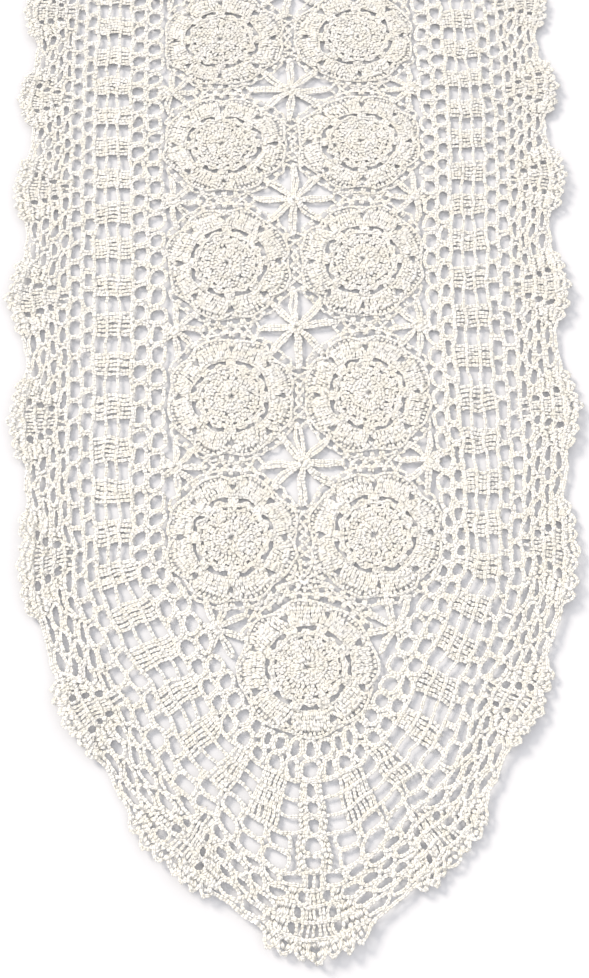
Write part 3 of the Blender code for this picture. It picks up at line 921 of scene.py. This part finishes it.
def addSpine(work, tip):
    # down the middle of each tip runs a column of small holes between two columns of posts
    b = border
    hole, column = b["spine"]
    squareness, inset, holeGirth = b["spineHole"]
    long, lean, girth = b["spinePost"]
    ahead, away = holeLoop(squareness, 14)
    for low, high in zip(b["spineRows"], b["spineRows"][1:]):
        middle, half = (low + high) / 2, (high - low) / 2
        for side in (-1, 1):
            for up in b["spineUp"]:
                for step in b["spinePair"]:
                    at = low + (high - low) * (up + step * 2)
                    place = column - b["spineTaper"] * up + step
                    turn = math.copysign(lean, step)
                    addStubs(work, onBorder(tip + side * (place - turn), at - long, height["foot"]),
                             onBorder(tip + side * (place + turn), at + long, height["top"]), girth)
            mine = ahead * side > -0.05     # this side's points and those on the middle line
            loop = halfHole(tip + hole * ahead[mine], middle + (half - inset) * away[mine])
            addChain(work, loop, holeGirth)


def makeBorder():
    b = border
    works = {"innerNet": newWork(), "outerNet": newWork()}
    for net in b["nets"]:
        addNet(works[net["name"]], net)
    out, girth = b["outerLine"]
    addChain(works["outerNet"], roundBorder(out, height["row"]), girth)
    for name in works:
        crochet(name, works[name], b["yarn"])

    ladder = newWork()
    for line in b["ladder"]:
        addChain(ladder, roundBorder(line, height["line"]), b["ladderGirth"])
    blocks = [(k - b["blockHalf"], k + b["blockHalf"])
              for k in range(1, 2 * repeats) if k % repeats not in (0, 1, repeats - 1)]
    near, far = b["tipBlock"]
    for tip in (0, repeats):
        blocks += [(tip + near, tip + far), (tip - far, tip - near)]
        addSpine(ladder, tip)
    draw = np.random.default_rng(b["seed"])
    for column, (low, high) in enumerate(zip(b["ladder"], b["ladder"][1:])):
        for k0, k1 in blocks:
            span = np.linalg.norm(onBorder(k1, (low + high) / 2) - onBorder(k0, (low + high) / 2))
            count = max(4, round(span / b["rungPitch"]))
            inset = (k1 - k0) / count / 2
            k = np.linspace(k0 + inset, k1 - inset, count) + draw.normal(0, b["rungUneven"], count)
            bow = b["rungBow"] * (1 if column % 2 else -1) + draw.normal(0, b["rungBow"] / 3, count)
            addRungs(ladder, onBorder(k, low, height["foot"]), onBorder(k, high, height["row"]), bow,
                     b["rungGirth"])
    crochet("ladder", ladder, b["yarn"])


# Scallops

scallop = {
    # mm out of the lines between the rows, in the valley and at the centre, and where a line falls
    "lines": ((32.0, 32.0), (39.0, 40.5), (46.0, 48.5), (53.0, 56.5), (60.0, 64.5)),
    "fall": (0.02, 0.36),
    "middle": (50.0, 1.1),      # mm out and up, where a scallop is measured
    # half width of each row of a fan, the middle of its windows, and half a window, in scallops
    "fan": (0.055, 0.174, 0.255, 0.305), "ray": (0.046, 0.083, 0.111, 0.139), "window": 0.043,
    "windowLoop": (0.75, 0.84, 0.5, 0.95),      # squareness, share of the width, mm inside, girth
    "firstPosts": (0.014, 0.03, 0.02),          # first row: half the middle posts, sides out and in
    "postPitch": 2.8, "postFoot": 0.86, "postBow": 0.3, "postGirth": 0.9,
    "fanOver": 0.01, "fanGirth": 1.05,          # the line on top of each row
    # holes from fan to fan in each row: count, shape, mm to their ends, lean, mm inside the rows
    "loops": (5, 4, 3, 2), "squareness": 0.8, "wall": 1.0, "lean": 1.0, "loopInset": 0.55,
    "loopGirth": 1.15, "unevenLoop": 0.004,
    # stitches that fill the fans: length, pitch, lean and girth; then the first row's place, and a step
    "fillStitch": (4.9, 2.6, 0.45, 1.1), "fillRows": (0.25, 0.5),
    # the edge by shares of a scallop from its centre, and how much it differs from one to the next
    "edgeAt": (0.0, 0.04, 0.11, 0.19, 0.26, 0.31, 0.40, 0.50),
    "edge": (76.0, 76.0, 71.5, 72.5, 69.5, 63.5, 62.0, 63.0),
    "uneven": 1.2, "unevenStep": 2.3,
    "bandHalf": 0.29, "bandInset": 2.2, "bandLine": (0.3, 0.9),     # share; mm; mm and girth
    "shells": (-0.255, -0.17, -0.085, 0.0, 0.085, 0.17, 0.255), "shellHalf": 0.040, "middleShell": 1.15,
    "shellInset": 0.6, "shellArch": 3.8, "shellSpread": 1.15, "shellGirth": 1.05,
    "ends": (0.6, 1.5, 1.1, 0.9),       # of thread: mm off the middle, how they part, length, girth
    "valleyAt": (0.3, 0.36, 0.5), "valley": (63.5, 61.8, 61.6), "valleyGirth": 1.25,
    "flats": {"fineNet": (0.029, 2.58), "shellEdge": (0.017, 2.71)},
    "shellArea": 0.0230,        # square metres of the outermost band, 8.5 mm high on average
    "yarn": {"Stitch length": 0.0023, "Chain width": 0.0023, "Stub width": 0.0029,
             "Unevenness": 1.5, "Seed": 51},
    "seed": 77,
}


def fromCentre(share):
    # shares past a valley counted from the next scallop's centre
    return np.where(share > 0.5, share - 1, share)


def lineOut(number, share):
    valley, centre = scallop["lines"][number]
    return centre + (valley - centre) * smoothStep(np.abs(share), *scallop["fall"])


def edgeOut(index, share):
    base = np.interp(np.abs(share), scallop["edgeAt"], scallop["edge"])
    uneven = scallop["uneven"] * math.sin(scallop["unevenStep"] * index)
    low, high = min(scallop["edge"]), max(scallop["edge"])
    return base + uneven * (base - low) / (high - low)


def addFilling(work, at, width, ends, inner, outer):
    # two rows of short stitches between two lines, the second set between the first, leaning by turns
    length, pitch, leaning, girth = scallop["fillStitch"]
    first, second = scallop["fillRows"]
    low, high = ends
    half = length / stitchShape["span"] / 2
    count = max(1, round((high - low) * width / pitch))
    for row in (0, 1):
        share = low + (high - low) * (np.arange(count) + first + second * row) / count
        out = inner(share) + (outer(share) - inner(share)) * (first + second * row)
        lean = leaning * np.where((np.arange(count) + row) % 2 == 0, 1, -1) / width
        addStubs(work, at(share - lean, out - half, height["foot"]),
                 at(share + lean, out + half, height["top"]), girth)


def addFan(work, at, width, number, draw):
    # one row of a scallop's fan: middle, two windows and filled flanks
    s = scallop
    fan, ray, window = s["fan"][number], s["ray"][number], s["window"]

    def inner(share):
        return lineOut(number, share)

    def outer(share):
        return lineOut(number + 1, share)

    middles, flanks = [(-ray + window, ray - window)], [(-fan, -ray - window), (ray + window, fan)]
    if number == 0:
        core, out, back = s["firstPosts"]
        middles, flanks = [(-core, core), (-fan - out, -fan + back), (fan - back, fan + out)], []
    for low, high in middles:
        count = max(1, round((high - low) * width / s["postPitch"]))
        inset = (high - low) / count / 2
        top = np.linspace(low + inset, high - inset, count)
        foot = top * (s["postFoot"] if number else 1.0)
        bow = draw.normal(0, s["postBow"], count)
        addRungs(work, at(foot, inner(foot), height["post"]), at(top, outer(top), height["post"]), bow,
                 s["postGirth"])
    for ends in flanks:
        addFilling(work, at, width, ends, inner, outer)
    squareness, wide, inset, girth = s["windowLoop"]
    for spot in (-ray, ray) if number else ():
        ahead, away = holeLoop(squareness, 14)
        share = spot + window * wide * ahead
        middle, half = (inner(share) + outer(share)) / 2, (outer(share) - inner(share)) / 2
        addChain(work, at(share, middle + (half - inset) * away, height["foot"]), girth)
    sweep = np.linspace(-fan - s["fanOver"], fan + s["fanOver"], 15)
    addChain(work, at(sweep, outer(sweep), height["top"]), s["fanGirth"])


def addValley(work, at, width, number, draw):
    # loops between this fan and the next
    s = scallop
    edges = np.linspace(s["fan"][number], 1 - s["fan"][number], s["loops"][number] + 1)
    ahead, away = holeLoop(s["squareness"], 16)
    for low, high in zip(edges, edges[1:]):
        long = (high - low) / 2 - s["wall"] / width
        share = (low + high) / 2 + long * ahead + draw.normal(0, s["unevenLoop"])
        inner, outer = lineOut(number, fromCentre(share)), lineOut(number + 1, fromCentre(share))
        out = (inner + outer) / 2 + ((outer - inner) / 2 - s["loopInset"]) * away
        addChain(work, at(share + s["lean"] * away / width, out, height["row"]), s["loopGirth"])


def addEdge(work, at, width, index):
    # a band of stitches under a row of small arcs, each with two loose ends of thread on top
    s = scallop

    def inner(share):
        return lineOut(-1, share)

    def outer(share):
        return edgeOut(index, share) - s["bandInset"]

    addFilling(work, at, width, (-s["bandHalf"], s["bandHalf"]), inner, outer)
    aside, parting, length, girth = s["ends"]
    for spot in s["shells"]:
        half = s["shellHalf"] * (s["middleShell"] if spot == 0 else 1.0)
        top = float(edgeOut(index, spot)) - s["shellInset"]
        spread = np.linspace(-s["shellSpread"], s["shellSpread"], 9)
        arc = at(spot + half * spread, top - s["shellArch"] * spread ** 2, height["over"])
        addChain(work, arc, s["shellGirth"])
        for lean in (-aside / width, aside / width):
            addStubs(work, at(spot + lean, top, height["top"]),
                     at(spot + parting * lean, top + length, height["line"]), girth)
    lift, girth = s["bandLine"]
    sweep = np.linspace(-s["bandHalf"], s["bandHalf"], 31)
    addChain(work, at(sweep, inner(sweep) + lift, height["over"]), girth)
    valley = np.linspace(s["valleyAt"][0], 1 - s["valleyAt"][0], 13)
    out = np.interp(np.abs(fromCentre(valley)), s["valleyAt"], s["valley"])
    addChain(work, at(valley, out, height["foot"]), s["valleyGirth"])


def makeScallops():
    s = scallop
    fine, shells = newWork(), newWork()
    draw = np.random.default_rng(s["seed"])
    for index in range(scallopCount):
        def at(share, out, z):
            return onBorder(scallopK(index + np.asarray(share, float)), out, z)

        # mm of edge that the scallop takes, from the half of it round its centre
        ends = onTable(at(np.array([-0.25, 0.25]), *s["middle"]))
        width = 2000 * np.linalg.norm(ends[1] - ends[0])
        for number in range(len(s["fan"])):
            addFan(fine, at, width, number, draw)
            addValley(fine, at, width, number, draw)
        addEdge(shells, at, width, index)
    print("scallops laid out")
    crochet("fineNet", fine, s["yarn"])
    crochet("shellEdge", shells, s["yarn"])


makePanel()
makeBorder()
makeScallops()
bpy.data.objects.remove(stitch, do_unlink=True)

# Floor, light and camera

stageLook = {
    "floor": "#b5b5b7", "floorSize": 8, "floorRoughness": 0.95,
    "keyPower": 4.8, "keySoftness": 19.0,       # softness: degrees that the light is wide
    "keyFrom": (-0.70, 0.66, 0.62), "keyColour": "#fff6ea",
    "fill": 1.52, "fillColour": "#fbfbff",
    "camera": (-0.0130, -0.5661, 0.7715), "target": (-0.00565, -0.2854, 0.0), "lens": 42.74,
    "gamma": 1.22,      # lifts the shadows as in the photo
}


def makeStage():
    scene = bpy.context.scene
    bpy.ops.mesh.primitive_plane_add(size=stageLook["floorSize"], location=(0, 0, 0))
    floor = bpy.context.object
    floor.name = "floor"
    # background paper: even and without gloss, so it shows the soft shadow alone
    paper = bpy.data.materials.new("matt white paper")
    paper.use_nodes = True
    shader = paper.node_tree.nodes["Principled BSDF"]
    shader.inputs["Base Color"].default_value = linear(stageLook["floor"])
    shader.inputs["Roughness"].default_value = stageLook["floorRoughness"]
    floor.data.materials.append(paper)

    world = bpy.data.worlds.new("studio")
    scene.world = world
    world.use_nodes = True
    back = world.node_tree.nodes["Background"]
    back.inputs["Color"].default_value = linear(stageLook["fillColour"])
    back.inputs["Strength"].default_value = stageLook["fill"]

    light = bpy.data.lights.new("key", "SUN")
    light.energy = stageLook["keyPower"]
    light.angle = math.radians(stageLook["keySoftness"])
    light.color = linear(stageLook["keyColour"])[:3]
    key = addObject("key", light)
    key.location = stageLook["keyFrom"]
    key.rotation_euler = (-Vector(stageLook["keyFrom"])).to_track_quat("-Z", "Y").to_euler()

    view = bpy.data.cameras.new("camera")
    view.sensor_fit = "VERTICAL"
    view.sensor_height = 36
    view.lens = stageLook["lens"]
    view.clip_start = 0.01
    camera = addObject("camera", view)
    camera.location = stageLook["camera"]
    ahead = (Vector(stageLook["target"]) - Vector(stageLook["camera"])).normalized()
    camera.rotation_euler = ahead.to_track_quat("-Z", "Y").to_euler()
    bpy.context.scene.camera = camera
    scene.view_settings.view_transform = "Standard"
    scene.view_settings.gamma = stageLook["gamma"]
    print("stage set")


makeStage()
